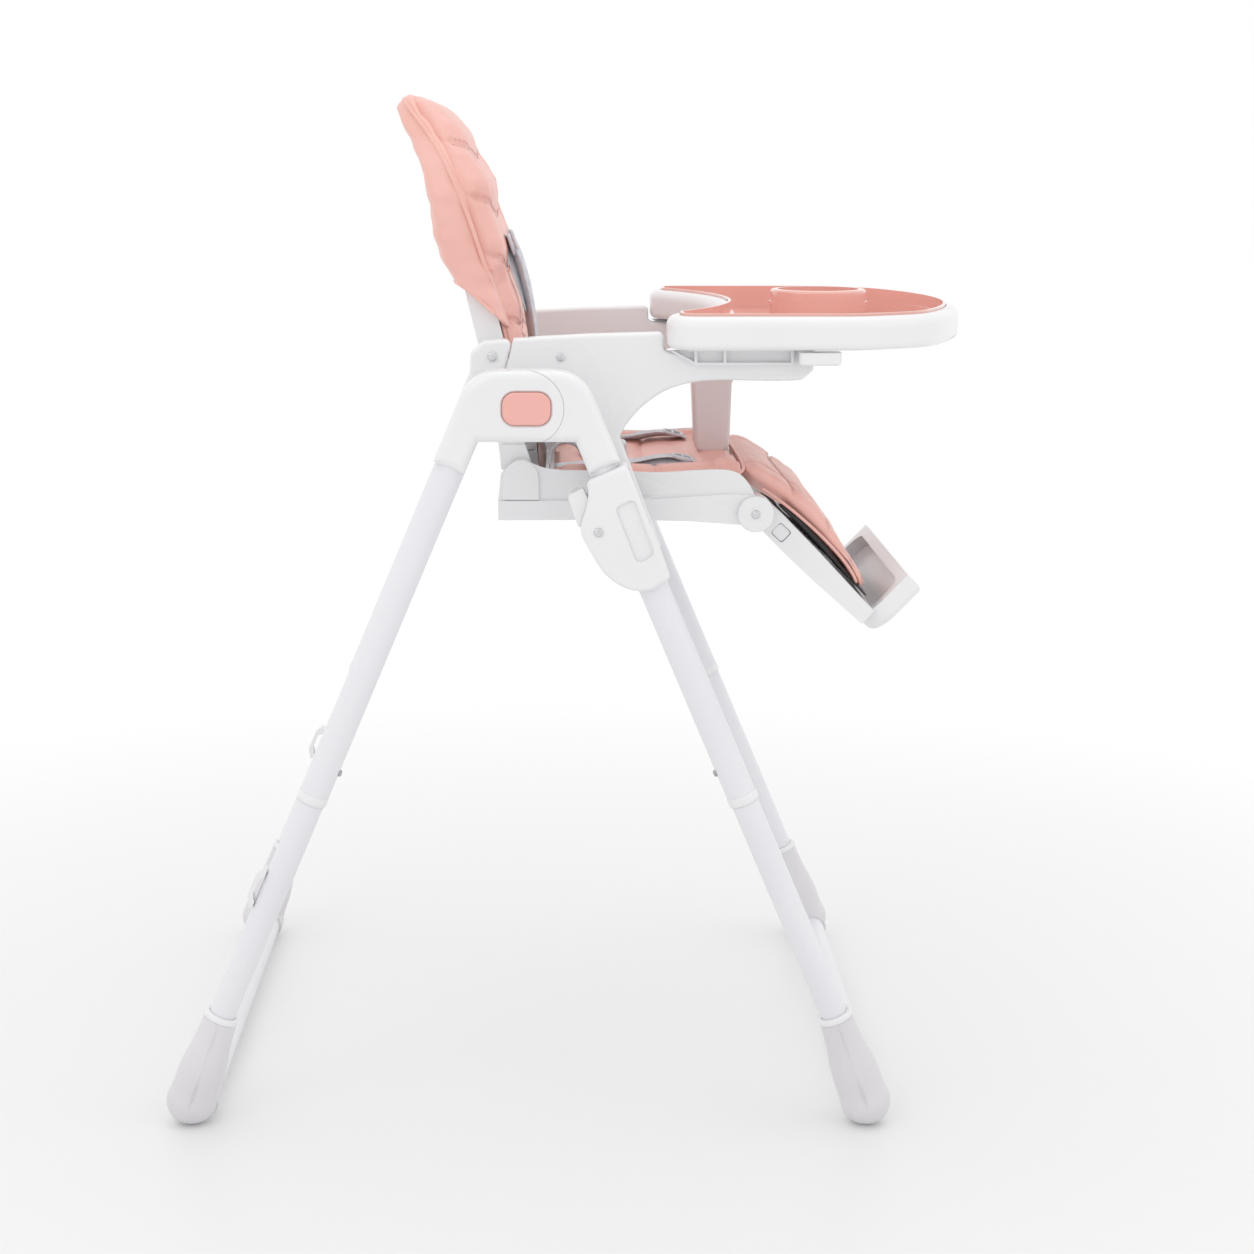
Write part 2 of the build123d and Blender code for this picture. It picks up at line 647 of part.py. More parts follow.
def leg_rest():
    """Two arms, a panel under the pad and a dished foot plate, moulded as one."""
    with BuildPart() as frame:
        with BuildSketch(rest_view(REST_HALF)):
            with BuildLine():
                Polyline((0, 17), (27, 17.5), (79, 15.7), (150, 11.3), (166, 11), (166, -8),
                         (97, -10.2), (48, -10.2), (22, -9), (0, -17), close=True)
            make_face()
            Circle(17)
        extrude(amount=2 * REST_HALF)
        gap = REST_HALF - ARM_WIDTH
        with BuildSketch(rest_view(gap)):
            with Locations((60, 0)):
                Rectangle(190, 60)
        extrude(amount=2 * gap, mode=Mode.SUBTRACT)
        with BuildSketch(rest_view(gap)):
            with Locations((98, 3)):
                Rectangle(114, 4)
        extrude(amount=2 * gap)
        plate_plane = Plane(origin=rest_view().from_local_coords((PLATE_U[0], 0, 0)),
                            x_dir=(1, 0, 0), z_dir=rest_view().x_dir)
        with BuildSketch(plate_plane) as plate:
            with Locations((0, 27)):
                Rectangle(2 * REST_HALF, 70)
            fillet(plate.vertices().group_by(Axis.Y)[0], 34)
        extrude(amount=PLATE_U[1] - PLATE_U[0])
        back_rim = frame.faces().sort_by(Axis(rest_view().origin, rest_view().x_dir))[-1]
        fillet(back_rim.edges(), 8)
        with BuildSketch(plate_plane):
            with Locations((0, 27)):
                RectangleRounded(2 * REST_HALF - 26, 46, 20)
        extrude(amount=14, mode=Mode.SUBTRACT)
        for x in (-1, 1):
            add(disc(x * 140, x * 170, 6.05, REST_PIVOT), mode=Mode.SUBTRACT)
        add(rest_window(REST_HALF, 0.6, 7), mode=Mode.SUBTRACT)
        add(rest_window(-REST_HALF + 7, 0.6, 7), mode=Mode.SUBTRACT)
    save(frame.part, "leg_rest_frame")
    save_pair(rest_window(REST_HALF - 1.5, 0, 3), "leg_rest_button")
    with BuildPart() as pad:
        with BuildSketch(rest_view(148)):
            with BuildLine():
                under = Line((20, 18.4), (146, 14.5))
                nose = ThreePointArc(under @ 1, (154, 20), (147, 26))
                top = Spline(nose @ 1, (115, 29), (78, 39), (45, 41), (22, 38))
                Line(top @ 1, under @ 0)
            make_face()
        extrude(amount=296)
    save(pad.part, "leg_rest_pad")


# Tray ---------------------------------------------------------------------------------------
CUP = (0.0, -270.0)      # centre of the cup holder
CUP_R = 53.0
TRAY_FRONT = -417.0      # the tray's front edge


def tray_outline(inset):
    """Plan of the tray: a bowed front, round horns and a hollow for the child's body."""
    with BuildSketch() as plan:
        with BuildLine():
            front = ThreePointArc((-215, -360), (0, TRAY_FRONT), (215, -360))
            left = Polyline(front @ 0, (-256, -290), (-256, -96), (-196, -96))
            body = ThreePointArc(left @ 1, (0, -158), (196, -96))
            Polyline(body @ 1, (256, -96), (256, -290), front @ 1)
        make_face()
        fillet(plan.vertices().filter_by(lambda v: v.Y < -200), 90)
        fillet(plan.vertices().filter_by(lambda v: v.Y > -100 and abs(v.X) > 250), 29)
        fillet(plan.vertices().filter_by(lambda v: v.Y > -100 and abs(v.X) < 200), 22)
        if inset:
            offset(amount=-inset, kind=Kind.ARC)
    return plan.sketch


def slab_z(sketch, low, high):
    """A plan sketch raised into a slab between two heights."""
    with BuildPart() as piece:
        with BuildSketch(Plane.XY.offset(low)):
            add(sketch)
        extrude(amount=high - low)
    return piece.part


def tray():
    """Tray base, its rails over the armrests, the crotch post and the latches."""
    with BuildPart() as base:
        add(slab_z(tray_outline(0), TRAY_FLOOR, TRAY_RIM))
        fillet(base.faces().sort_by(Axis.Z)[-1].edges(), 11)
        fillet(base.faces().sort_by(Axis.Z)[0].edges(), 7)
        add(slab_z(tray_outline(13), TRAY_FLOOR + 6.5, TRAY_RIM + 1), mode=Mode.SUBTRACT)
        add(slab_z(tray_outline(9), TRAY_FLOOR - 1, TRAY_FLOOR + 3), mode=Mode.SUBTRACT)
    save(base.part, "tray_base")

    with BuildPart() as insert:
        add(slab_z(tray_outline(13.6), TRAY_FLOOR + 6.8, 828.5))
        add(slab_z(tray_outline(16.6), 815, 830), mode=Mode.SUBTRACT)
        add(slab_z(tray_outline(20), 802.5, 815.5), mode=Mode.SUBTRACT)
        with BuildSketch(Plane.XY.offset(802)):
            with Locations(CUP):
                Circle(CUP_R)
        extrude(amount=24)
        with BuildSketch(Plane.XY.offset(826)):
            with Locations(CUP):
                Circle(CUP_R - 1.5)
        extrude(amount=13)
        fillet(insert.faces().sort_by(Axis.Z)[-1].edges(), 3)
        with BuildSketch(Plane.XY.offset(803)):
            with Locations(CUP):
                Circle(CUP_R - 9)
        extrude(amount=50, mode=Mode.SUBTRACT)
    save(insert.part, "tray_insert")

    with BuildPart() as rail:
        add(prism(ARM_IN - 8, 226, ((-117, TRAY_FLOOR + 2.9), (-117, 790), (-222, 790),
                                    (-222, TRAY_FLOOR + 2.9))))
        add(prism(ARM_OUT + 0.8, ARM_OUT + 3, ((-99, 791), (-124, 776.5), (-243, 776.5),
                                               (-243, 791))))
        add(prism(ARM_OUT + 0.8, 226, ((-98, 791), (-124, 776.5), (-222, 776.5), (-222, 779),
                                       (-124.5, 779), (-102, 791))))
        for y in (-126, -155, -222):
            add(prism(ARM_OUT + 0.8, 226, ((y, 777), (y, 791), (y + 3, 791), (y + 3, 777))))
        add(prism(ARM_IN - 4, ARM_IN - 0.8, ((-124, 772), (-124, 791), (-222, 791),
                                             (-222, 772))))
    save_pair(rail.part, "tray_rail")


def tray_fittings():
    """Crotch post and release latches under the tray."""
    with BuildPart() as post:
        with BuildSketch(side(-17)) as outline:
            with BuildLine():
                Polyline((-133, 738), (-137, 661), (-175, 661), (-177, 738), (-201, 778),
                         (-201, TRAY_FLOOR + 2.8), (-171, TRAY_FLOOR + 2.8), (-155, 775),
                         close=True)
            make_face()
            fillet(outline.vertices().group_by(Axis.Y)[0], 12)
            fillet(outline.vertices().group_by(Axis.Y)[1:-2][-1], 8)
        extrude(amount=34)
        fillet([edge for face in post.faces().filter_by(Axis.X) for edge in face.edges()], 5)
    save(post.part, "crotch_post")
    with BuildPart() as latch:
        with BuildSketch(Plane.XY.offset(778)):
            with Locations((238, -246)):
                RectangleRounded(26, 42, 5)
        extrude(amount=12.5)
        fillet(latch.faces().sort_by(Axis.Z)[0].edges(), 3)
    save_pair(latch.part, "tray_latch")


# Written pieces
elbows()
hinge_pieces()
legs(front_leg(), "front", FRONT_BAR)
legs(rear_leg(), "rear", REAR_BAR)
save_both(snap_button(front_leg()), "front_snap_studs")
save_both(snap_button(rear_leg()), "rear_snap_studs")
save_both(tray_hook(), "tray_hooks")
sliders()
armrests()
seat_shell()
seat_fittings()
seat_pad()
harness()
backrest()
shoulder_straps()
leg_rest()
tray()
tray_fittings()
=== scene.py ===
"""Looks of the baby high chair: padded covers, harness webbing, trims and procedural materials."""
import json
import math

import bmesh
import bpy
from mathutils import Matrix, Vector, noise
from mathutils.bvhtree import BVHTree


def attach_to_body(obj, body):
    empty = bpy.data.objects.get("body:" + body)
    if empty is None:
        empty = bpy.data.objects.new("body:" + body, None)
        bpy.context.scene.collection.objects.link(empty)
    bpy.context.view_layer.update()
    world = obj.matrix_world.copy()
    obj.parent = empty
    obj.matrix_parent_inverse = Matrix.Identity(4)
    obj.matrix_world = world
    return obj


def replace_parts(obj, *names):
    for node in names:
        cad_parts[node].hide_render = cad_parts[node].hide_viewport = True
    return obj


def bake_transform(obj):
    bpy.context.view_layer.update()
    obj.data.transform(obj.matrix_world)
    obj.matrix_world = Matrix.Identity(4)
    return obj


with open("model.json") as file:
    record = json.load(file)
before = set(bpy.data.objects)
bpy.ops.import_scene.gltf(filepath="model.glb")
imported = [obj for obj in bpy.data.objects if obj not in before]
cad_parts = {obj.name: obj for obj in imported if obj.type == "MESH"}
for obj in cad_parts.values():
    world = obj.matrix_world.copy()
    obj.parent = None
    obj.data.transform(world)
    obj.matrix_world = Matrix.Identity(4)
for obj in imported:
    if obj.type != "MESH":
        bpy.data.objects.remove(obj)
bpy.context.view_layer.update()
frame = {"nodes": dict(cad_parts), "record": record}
MM = 0.001
LEG_X = 0.289                    # plane of each leg
LEG_ANGLE = math.radians(23.0)   # lean of each leg
APEX = (0.043, 0.858)            # where the leg axes would cross, as (Y, Z)
REST_PIVOT = Vector((0.0, -0.190, 0.621))
REST_ANGLE = math.radians(43.5)
SIDES = ((1, "left"), (-1, "right"))


# Materials ----------------------------------------------------------------------------------
def principled(name, color, roughness, **sockets):
    """A new material; sockets are constant values of the shader, by their names in lower case."""
    material = bpy.data.materials.new(name + "_look")
    material["slot"] = name
    material.use_nodes = True
    shader = material.node_tree.nodes["Principled BSDF"]
    shader.inputs["Base Color"].default_value = (*color, 1.0)
    shader.inputs["Roughness"].default_value = roughness
    for key, value in sockets.items():
        shader.inputs[key.replace("_", " ").title()].default_value = value
    return material


def node(material, kind, **settings):
    """Adds a node with its settings: attributes first, then input sockets by name."""
    made = material.node_tree.nodes.new(kind)
    for key, value in settings.items():
        if hasattr(made, key):
            setattr(made, key, value)
        else:
            made.inputs[key.replace("_", " ").title()].default_value = value
    return made


def link(material, source, target):
    material.node_tree.links.new(source, target)


def place(material):
    """Object coordinates: the texture stays on the piece when it moves."""
    return node(material, "ShaderNodeTexCoord").outputs["Object"]


def mottle(material, dark, light, scale, detail=4.0, rough=(0.3, 0.4)):
    """Soft colour and roughness variation from one noise."""
    shader = material.node_tree.nodes["Principled BSDF"]
    clouds = node(material, "ShaderNodeTexNoise", scale=scale, detail=detail)
    link(material, place(material), clouds.inputs["Vector"])
    ramp = node(material, "ShaderNodeValToRGB")
    ramp.color_ramp.elements[0].color = (*dark, 1.0)
    ramp.color_ramp.elements[1].color = (*light, 1.0)
    ramp.color_ramp.elements[0].position = 0.3
    ramp.color_ramp.elements[1].position = 0.7
    link(material, clouds.outputs["Fac"], ramp.inputs["Fac"])
    link(material, ramp.outputs["Color"], shader.inputs["Base Color"])
    spread = node(material, "ShaderNodeMapRange")
    spread.inputs["To Min"].default_value = rough[0]
    spread.inputs["To Max"].default_value = rough[1]
    link(material, clouds.outputs["Fac"], spread.inputs["Value"])
    link(material, spread.outputs["Result"], shader.inputs["Roughness"])


def relief(material, texture_output, strength, distance):
    """Bump from a texture, in metres of height."""
    bump = node(material, "ShaderNodeBump")
    bump.inputs["Strength"].default_value = strength
    bump.inputs["Distance"].default_value = distance
    link(material, texture_output, bump.inputs["Height"])
    shader = material.node_tree.nodes["Principled BSDF"]
    link(material, bump.outputs["Normal"], shader.inputs["Normal"])


PEEL_HEIGHT = 0.00004    # height of the orange peel on plastic and paint


def plastic(name, dark, light, rough, peel=260.0, coat=0.25):
    """Moulded plastic or paint: faint mottling and a fine orange peel."""
    material = principled(name, light, rough[0], coat_weight=coat, coat_roughness=0.12)
    mottle(material, dark, light, 7.0, detail=0.5, rough=rough)
    skin = node(material, "ShaderNodeTexNoise", scale=peel, detail=2.0)
    link(material, place(material), skin.inputs["Vector"])
    relief(material, skin.outputs["Fac"], 0.35, PEEL_HEIGHT)
    return material


def metal(name, color, rough):
    """Turned or polished metal with a fine mottle of wear."""
    material = principled(name, color, rough[0], metallic=1.0)
    mottle(material, tuple(0.8 * c for c in color), color, 160.0, rough=rough)
    return material


def leather(name, dark, light, rough, cell=520.0):
    """Coated leather: pebbled grain, fine creases and soft colour variation."""
    material = principled(name, light, rough[0], coat_weight=0.18, coat_roughness=0.3)
    mottle(material, dark, light, 14.0, detail=6.0, rough=rough)
    grain = node(material, "ShaderNodeTexVoronoi", scale=cell)
    grain.feature = "DISTANCE_TO_EDGE"
    creases = node(material, "ShaderNodeTexNoise", scale=70.0, detail=8.0)
    both = node(material, "ShaderNodeMath", operation="MULTIPLY_ADD")
    both.inputs[1].default_value = 0.5
    where = place(material)
    link(material, where, grain.inputs["Vector"])
    link(material, where, creases.inputs["Vector"])
    link(material, grain.outputs["Distance"], both.inputs[0])
    link(material, creases.outputs["Fac"], both.inputs[2])
    relief(material, both.outputs["Value"], 0.5, 0.0004)
    return material


def webbing(name, dark, light):
    """Woven tape: fine crossed ribs."""
    material = principled(name, light, 0.75, sheen_weight=0.3, sheen_roughness=0.5)
    mottle(material, dark, light, 120.0, rough=(0.7, 0.85))
    ribs = node(material, "ShaderNodeTexWave", wave_type="BANDS", bands_direction="Z")
    ribs.inputs["Scale"].default_value = 260.0
    cross = node(material, "ShaderNodeTexWave", wave_type="BANDS", bands_direction="X")
    cross.inputs["Scale"].default_value = 320.0
    weave = node(material, "ShaderNodeMath", operation="ADD")
    where = place(material)
    for wave in (ribs, cross):
        link(material, where, wave.inputs["Vector"])
    link(material, ribs.outputs["Fac"], weave.inputs[0])
    link(material, cross.outputs["Fac"], weave.inputs[1])
    relief(material, weave.outputs["Value"], 0.6, 0.0003)
    return material


SLOTS = {
    "white_gloss": plastic("white_gloss", (0.80, 0.80, 0.81), (0.82, 0.82, 0.83),
                           (0.24, 0.32)),
    "white_tube": plastic("white_tube", (0.765, 0.765, 0.80), (0.79, 0.79, 0.82), (0.36, 0.44),
                          peel=420.0),
    "mauve_foot": plastic("mauve_foot", (0.68, 0.66, 0.69), (0.73, 0.71, 0.735), (0.36, 0.46),
                          peel=600.0, coat=0.1),
    "sole_rubber": plastic("sole_rubber", (0.40, 0.39, 0.40), (0.46, 0.45, 0.46), (0.6, 0.7),
                           coat=0.0),
    "chrome_screw": metal("chrome_screw", (0.72, 0.72, 0.74), (0.10, 0.20)),
    "steel": metal("steel", (0.50, 0.50, 0.52), (0.28, 0.40)),
    "pink_button": plastic("pink_button", (0.84, 0.43, 0.38), (0.87, 0.47, 0.42), (0.25, 0.33)),
    "grey_plastic": plastic("grey_plastic", (0.56, 0.58, 0.62), (0.60, 0.62, 0.66), (0.35, 0.45)),
    "pink_leather": leather("pink_leather", (0.80, 0.425, 0.365), (0.86, 0.49, 0.43),
                            (0.36, 0.48)),
    "pale_webbing": webbing("pale_webbing", (0.62, 0.65, 0.70), (0.76, 0.79, 0.84)),
    "pink_tray": plastic("pink_tray", (0.82, 0.44, 0.385), (0.84, 0.47, 0.41), (0.10, 0.16),
                         coat=0.7),
    "pale_pink_plastic": plastic("pale_pink_plastic", (0.70, 0.62, 0.62), (0.73, 0.65, 0.65),
                                 (0.28, 0.36)),
}
THREAD = webbing("pink_thread", (0.70, 0.36, 0.31), (0.80, 0.46, 0.40))
LINER = leather("black_liner", (0.008, 0.007, 0.008), (0.018, 0.016, 0.017), (0.18, 0.3), 300.0)


def dress_cad_nodes():
    """Gives each carried-over node its procedural material."""
    slots = {row["node"]: row["material_slot"] for row in frame["record"]["subparts"]}
    for name, item in frame["nodes"].items():
        item.data.materials.clear()
        item.data.materials.append(SLOTS[slots[name]])


# Mesh helpers -------------------------------------------------------------------------------
def add_object(name, data):
    """A new object in the scene."""
    made = bpy.data.objects.new(name, data)
    bpy.context.collection.objects.link(made)
    return made


def attach(made, body):
    """Sets the body that a piece rides on, unless that comes later."""
    if body:
        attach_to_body(made, body)


def piece(name, verts, faces, material, body):
    """A new smooth mesh piece with its normals facing out."""
    mesh = bpy.data.meshes.new(name)
    mesh.from_pydata([tuple(v) for v in verts], [], faces)
    mesh.materials.append(material)
    made = add_object(name, mesh)
    shell = bmesh.new()
    shell.from_mesh(mesh)
    bmesh.ops.recalc_face_normals(shell, faces=shell.faces)
    shell.to_mesh(mesh)
    shell.free()
    mesh.shade_smooth()
    attach(made, body)
    return made


def loft(name, rings, material, body, closed=True):
    """A skin over rings of equal length; closed caps it at both ends."""
    count = len(rings[0])
    verts = [point for ring in rings for point in ring]
    faces = []
    for row in range(len(rings) - 1):
        for k in range(count):
            after = (k + 1) % count
            a, b = row * count + k, row * count + after
            faces.append((a, b, b + count, a + count))
    if closed:
        for row in (0, len(rings) - 1):
            middle = sum((Vector(p) for p in rings[row]), Vector()) / count
            verts.append(middle)
            hub = len(verts) - 1
            for k in range(count):
                faces.append((row * count + k, row * count + (k + 1) % count, hub))
    return piece(name, verts, faces, material, body)


OVAL_POINTS = 56


def oval(half, near, far, square, bulge):
    """A soft rectangle as (x, n) points: half wide, and from near to far across it.

    square and bulge round its sides and its faces: the smaller, the closer to a rectangle.
    """
    points = []
    for k in range(OVAL_POINTS):
        angle = math.tau * k / OVAL_POINTS
        across = math.cos(angle)
        depth = math.sin(angle)
        x = half * math.copysign(abs(across) ** square, across)
        n = (near + far) / 2 + (far - near) / 2 * math.copysign(abs(depth) ** bulge, depth)
        points.append((x, n))
    return points


def settle(item):
    """Applies an item's modifiers."""
    graph = bpy.context.evaluated_depsgraph_get()
    mesh = bpy.data.meshes.new_from_object(item.evaluated_get(graph))
    item.modifiers.clear()
    item.data = mesh
    mesh.shade_smooth()


SIDE_SHARE = 0.2         # share of the cloth's pull along X that is kept, so that welts meet
UP_SHARE = 0.5           # the same along Z
PRESSURE = 4.0
FRAMES = 20              # length of the cloth simulation
STIFFNESS = 12.0         # of the cloth, stretched or pressed
BENDING = 0.4


def inflate(item, voxel, cap):
    """Blows a closed cushion up with cloth, keeping every point within cap of its start."""
    remesh = item.modifiers.new("remesh", "REMESH")
    remesh.mode = "VOXEL"
    remesh.voxel_size = voxel
    settle(item)
    start = [v.co.copy() for v in item.data.vertices]
    cloth = item.modifiers.new("cloth", "CLOTH")
    cloth.settings.use_pressure = True
    cloth.settings.uniform_pressure_force = PRESSURE
    cloth.settings.tension_stiffness = STIFFNESS
    cloth.settings.compression_stiffness = STIFFNESS
    cloth.settings.bending_stiffness = BENDING
    cloth.settings.effector_weights.gravity = 0.0
    cloth.point_cache.frame_start = 1
    cloth.point_cache.frame_end = FRAMES
    for step in range(1, FRAMES + 1):
        bpy.context.scene.frame_set(step)
    settle(item)
    bpy.context.scene.frame_set(1)
    for vertex, first in zip(item.data.vertices, start):
        move = vertex.co - first
        move.x *= SIDE_SHARE
        move.z *= UP_SHARE
        vertex.co = first + move * min(1.0, cap / max(move.length, 1e-9))
    smooth = item.modifiers.new("smooth", "SUBSURF")
    smooth.levels = 1
    settle(item)


def sculpt(item, change):
    """Moves every vertex by change(position, normal), a vector."""
    normals = [v.normal.copy() for v in item.data.vertices]
    for vertex, normal in zip(item.data.vertices, normals):
        vertex.co += change(vertex.co.copy(), normal)
    item.data.update()


def groove(distance, width):
    """1 on a seam's line, fading to 0 beside it."""
    return math.exp(-((distance / width) ** 2))


def channel(distance, width, share, wide):
    """A sewn channel: a sharp seam of one width in a wider dip with a share of its depth."""
    return max(groove(distance, width), share * groove(distance, wide))


def tube(name, points, radius, material, body, cyclic=False):
    """A round welt or wire along points, as a mesh."""
    curve = bpy.data.curves.new(name, "CURVE")
    curve.dimensions = "3D"
    curve.bevel_depth = radius
    curve.bevel_resolution = 3
    spline = curve.splines.new("NURBS")
    spline.points.add(len(points) - 1)
    for target, point in zip(spline.points, points):
        target.co = (*point, 1.0)
    spline.order_u = 4
    spline.use_endpoint_u = not cyclic
    spline.use_cyclic_u = cyclic
    curve.use_fill_caps = True
    holder = add_object(name + "_line", curve)
    graph = bpy.context.evaluated_depsgraph_get()
    mesh = bpy.data.meshes.new_from_object(holder.evaluated_get(graph))
    bpy.data.objects.remove(holder)
    mesh.name = name
    mesh.materials.clear()
    mesh.materials.append(material)
    mesh.shade_smooth()
    made = add_object(name, mesh)
    attach(made, body)
    return made


STITCH_GAP = 0.012       # a longer run than this between two hits gets no stitch
STITCH_LIFT = 0.00025
STITCH_SHARE = 0.36      # half of a stitch, as a share of the run between two hits
STITCH_HALF = 0.00045
STITCH_HIGH = 0.0004


def stitches(name, item, lines, toward):
    """Thread along lines, dropped onto a cushion: one mesh of short lozenge stitches."""
    mesh = item.data
    tree = BVHTree.FromPolygons([v.co for v in mesh.vertices], [p.vertices for p in mesh.polygons])
    verts, faces = [], []
    for line in lines:
        hits = [tree.ray_cast(point, toward)[:2] for point in line]
        for (first, normal), (last, _) in zip(hits, hits[1:]):
            if first is None or last is None or (last - first).length > STITCH_GAP:
                continue
            run = (last - first) * STITCH_SHARE
            middle = first.lerp(last, 0.5) + normal * STITCH_LIFT
            side = run.cross(normal).normalized() * STITCH_HALF
            up = normal * STITCH_HIGH
            base = len(verts)
            verts += [middle - run, middle + run, middle + side, middle + up, middle - side,
                      middle - up]
            for k in range(4):
                faces.append((base, base + 2 + k, base + 2 + (k + 1) % 4))
                faces.append((base + 1, base + 2 + (k + 1) % 4, base + 2 + k))
    return piece(name, verts, faces, THREAD, None)


def between(table, value):
    """Linear reading of a table of (value, result) pairs."""
    for (low, first), (high, last) in zip(table, table[1:]):
        if value <= high:
            share = max(0.0, (value - low) / (high - low))
            return first + (last - first) * share
    return table[-1][1]


# Back cover ---------------------------------------------------------------------------------
BACK_LINE = [Vector((0, y, z)) * MM for y, z in (
    (44, 664), (53, 730), (67, 794), (76, 830), (84, 866), (92, 905), (104, 950),
    (119, 983), (139, 1012), (160, 1034), (172, 1044))]
BACK_TOP = 1.044


def back_point(z, n, x):
    """The point at height z on the shell's front line, n behind it and x across."""
    for low, high in zip(BACK_LINE, BACK_LINE[1:]):
        if z <= high.z or high is BACK_LINE[-1]:
            break
    run = high - low
    base = low + run * ((z - low.z) / run.z)
    lean = between([(0.70, 0.14), (0.83, 0.24), (0.90, 0.22), (0.95, 0.36), (1.0, 0.66),
                    (1.044, 0.78)], z)
    return Vector((x, base.y + n * math.cos(lean), base.z - n * math.sin(lean)))


def back_half(z, half, corner):
    """Half the cover's width at height z, round towards the top."""
    rise = z - (BACK_TOP - corner)
    if rise <= 0:
        return half
    return half - corner + math.sqrt(max(corner ** 2 - rise ** 2, 0.0))


def welt_depth(z):
    """How far behind the shell's front line the cover's side welt runs."""
    return between([(0.69, -0.003), (0.84, -0.002), (0.90, 0.004), (0.96, 0.010), (1.03, 0.008),
                    (1.044, 0.004)], z)


def pouch_depth(z):
    """How far behind the shell's front line the rear of the cover lies."""
    return between([(0.862, 0.036), (0.885, 0.045), (0.915, 0.047), (0.941, 0.044),
                    (0.977, 0.038), (1.008, 0.031), (1.033, 0.022), (1.044, 0.015)], z)


BACK_SEAMS = (0.800, 0.860, 0.918, 0.978)      # heights of the quilting across the back
BACK_BOW = 0.022                               # how much the quilting rises to the sides
BOW_HALF = 0.17                                # distance from the middle of that rise
BACK_PANEL = 0.108                             # upright seams, either side of the middle
BACK_STITCH = 0.0035                           # threads, either side of each seam
BACK_SEAM_DEPTH = 0.0062
BACK_PUFF = 0.0035                             # swell between the seams
QUILT_STEP = 0.059                             # mean distance between the seams
RAY_START = -0.5                               # plane that the back's threads drop from


def spaced(low, high, step):
    """Evenly spaced values from low to high."""
    count = round((high - low) / step)
    return [low + (high - low) * k / count for k in range(count + 1)]


def back_cushion():
    """The padded front of the back cover, quilted across and along."""
    rings = []
    heights = [0.693, 0.696, 0.702] + [0.71 + 0.01 * k for k in range(32)]
    heights += [1.026, 1.033, 1.038, 1.042]
    for z in heights:
        half = between([(0.692, 0.150), (0.71, 0.157), (0.84, 0.158), (0.866, 0.176),
                        (1.1, 0.178)], z)
        half = min(half, back_half(z, 0.178, 0.116))
        swell = min(1.0, (z - 0.686) / 0.02, max(0.25, (1.050 - z) / 0.03))
        tuck = between([(0.85, 0.001), (0.88, 0.010)], z)
        rings.append([back_point(z, n, x) for x, n in
                      oval(half, -0.011 * swell, welt_depth(z) + tuck, 0.3, 0.55)])
    made = loft("back_cushion", rings, SLOTS["pink_leather"], None)
    inflate(made, voxel=0.005, cap=0.009)

    def quilt(at, normal):
        front = min(1.0, max(0.0, -normal.y * 1.4))
        side = min(1.0, abs(at.x) / BOW_HALF)
        lines = 0.0
        for level in BACK_SEAMS:
            bow = level + BACK_BOW * (at.x / BOW_HALF) ** 2
            lines = max(lines, channel(at.z - bow, 0.0045, 0.45, 0.013))
        for seam in (-BACK_PANEL, BACK_PANEL):
            if at.z < 1.0:
                lines = max(lines, channel(at.x - seam, 0.004, 0.4, 0.012))
        ruffle = noise.noise(Vector((at.x * 22, at.y * 60, at.z * 46)))
        pull = noise.noise(Vector((at.x * 50 + 7, at.y * 30, at.z * 110)))
        wave = math.sin((at.z - BACK_SEAMS[0]) / QUILT_STEP * math.pi) ** 2
        puff = BACK_PUFF * wave * (0.4 + 0.6 * side)
        amount = -BACK_SEAM_DEPTH * lines + puff + 0.0013 * ruffle + 0.0006 * pull
        return normal * amount * max(front, 0.35)

    sculpt(made, quilt)
    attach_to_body(made, "backrest")
    lines = []
    for level in BACK_SEAMS:
        for offset in (-BACK_STITCH, BACK_STITCH):
            lines.append([Vector((x, RAY_START, level + offset + BACK_BOW * (x / BOW_HALF) ** 2))
                          for x in spaced(-0.160, 0.160, 0.005)])
    for seam in (-BACK_PANEL, BACK_PANEL):
        for offset in (-BACK_STITCH, BACK_STITCH):
            lines.append([Vector((seam + offset, RAY_START, z))
                          for z in spaced(0.72, 0.998, 0.005)])
    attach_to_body(stitches("back_stitches", made, lines, Vector((0, 1, 0))), "backrest")
    return made


BACK_WELT = 0.0021       # radii of the piping
HEM_WELT = 0.0016
SEAT_WELT = 0.0018
LEG_WELT = 0.0017
HEM_Z = 0.862            # height of the cover's rear hem


def hem_drop(n):
    """How much lower the hem runs at depth n than at the very back."""
    return 0.042 * max(0.0, 1 - n / 0.036) ** 1.4


def back_cover():
    """The rear of the cover: a pouch over the top of the shell, with a slanted hem."""
    rings = []
    steps = 36
    for k in range(-1, steps + 1):
        share = max(k, 0.02 * (k + 1)) / steps     # two rings close together hold the hem
        z = HEM_Z + (1.0415 - HEM_Z) * share ** 0.85
        half = back_half(z, 0.181, 0.117)
        ring = []
        for x, n in oval(half, welt_depth(z) - 0.009, pouch_depth(z), 0.22, 0.35):
            ring.append(back_point(z - hem_drop(n) * (1 - share) ** 3, n, x))
        rings.append(ring)
    made = loft("back_cover", rings, SLOTS["pink_leather"], "backrest")
    smooth = made.modifiers.new("smooth", "SUBSURF")
    smooth.levels = 2
    settle(made)

    def slack(at, normal):
        fold = noise.noise(Vector((at.x * 16, at.y * 30, at.z * 60)))
        pinch = groove(at.z - (0.925 + 0.02 * math.sin(at.x * 40)), 0.010)
        crease = noise.noise(Vector((at.x * 40 + 3, at.y * 22, at.z * 24)))
        return normal * (0.0022 * fold + 0.0010 * crease - 0.0014 * pinch)

    sculpt(made, slack)


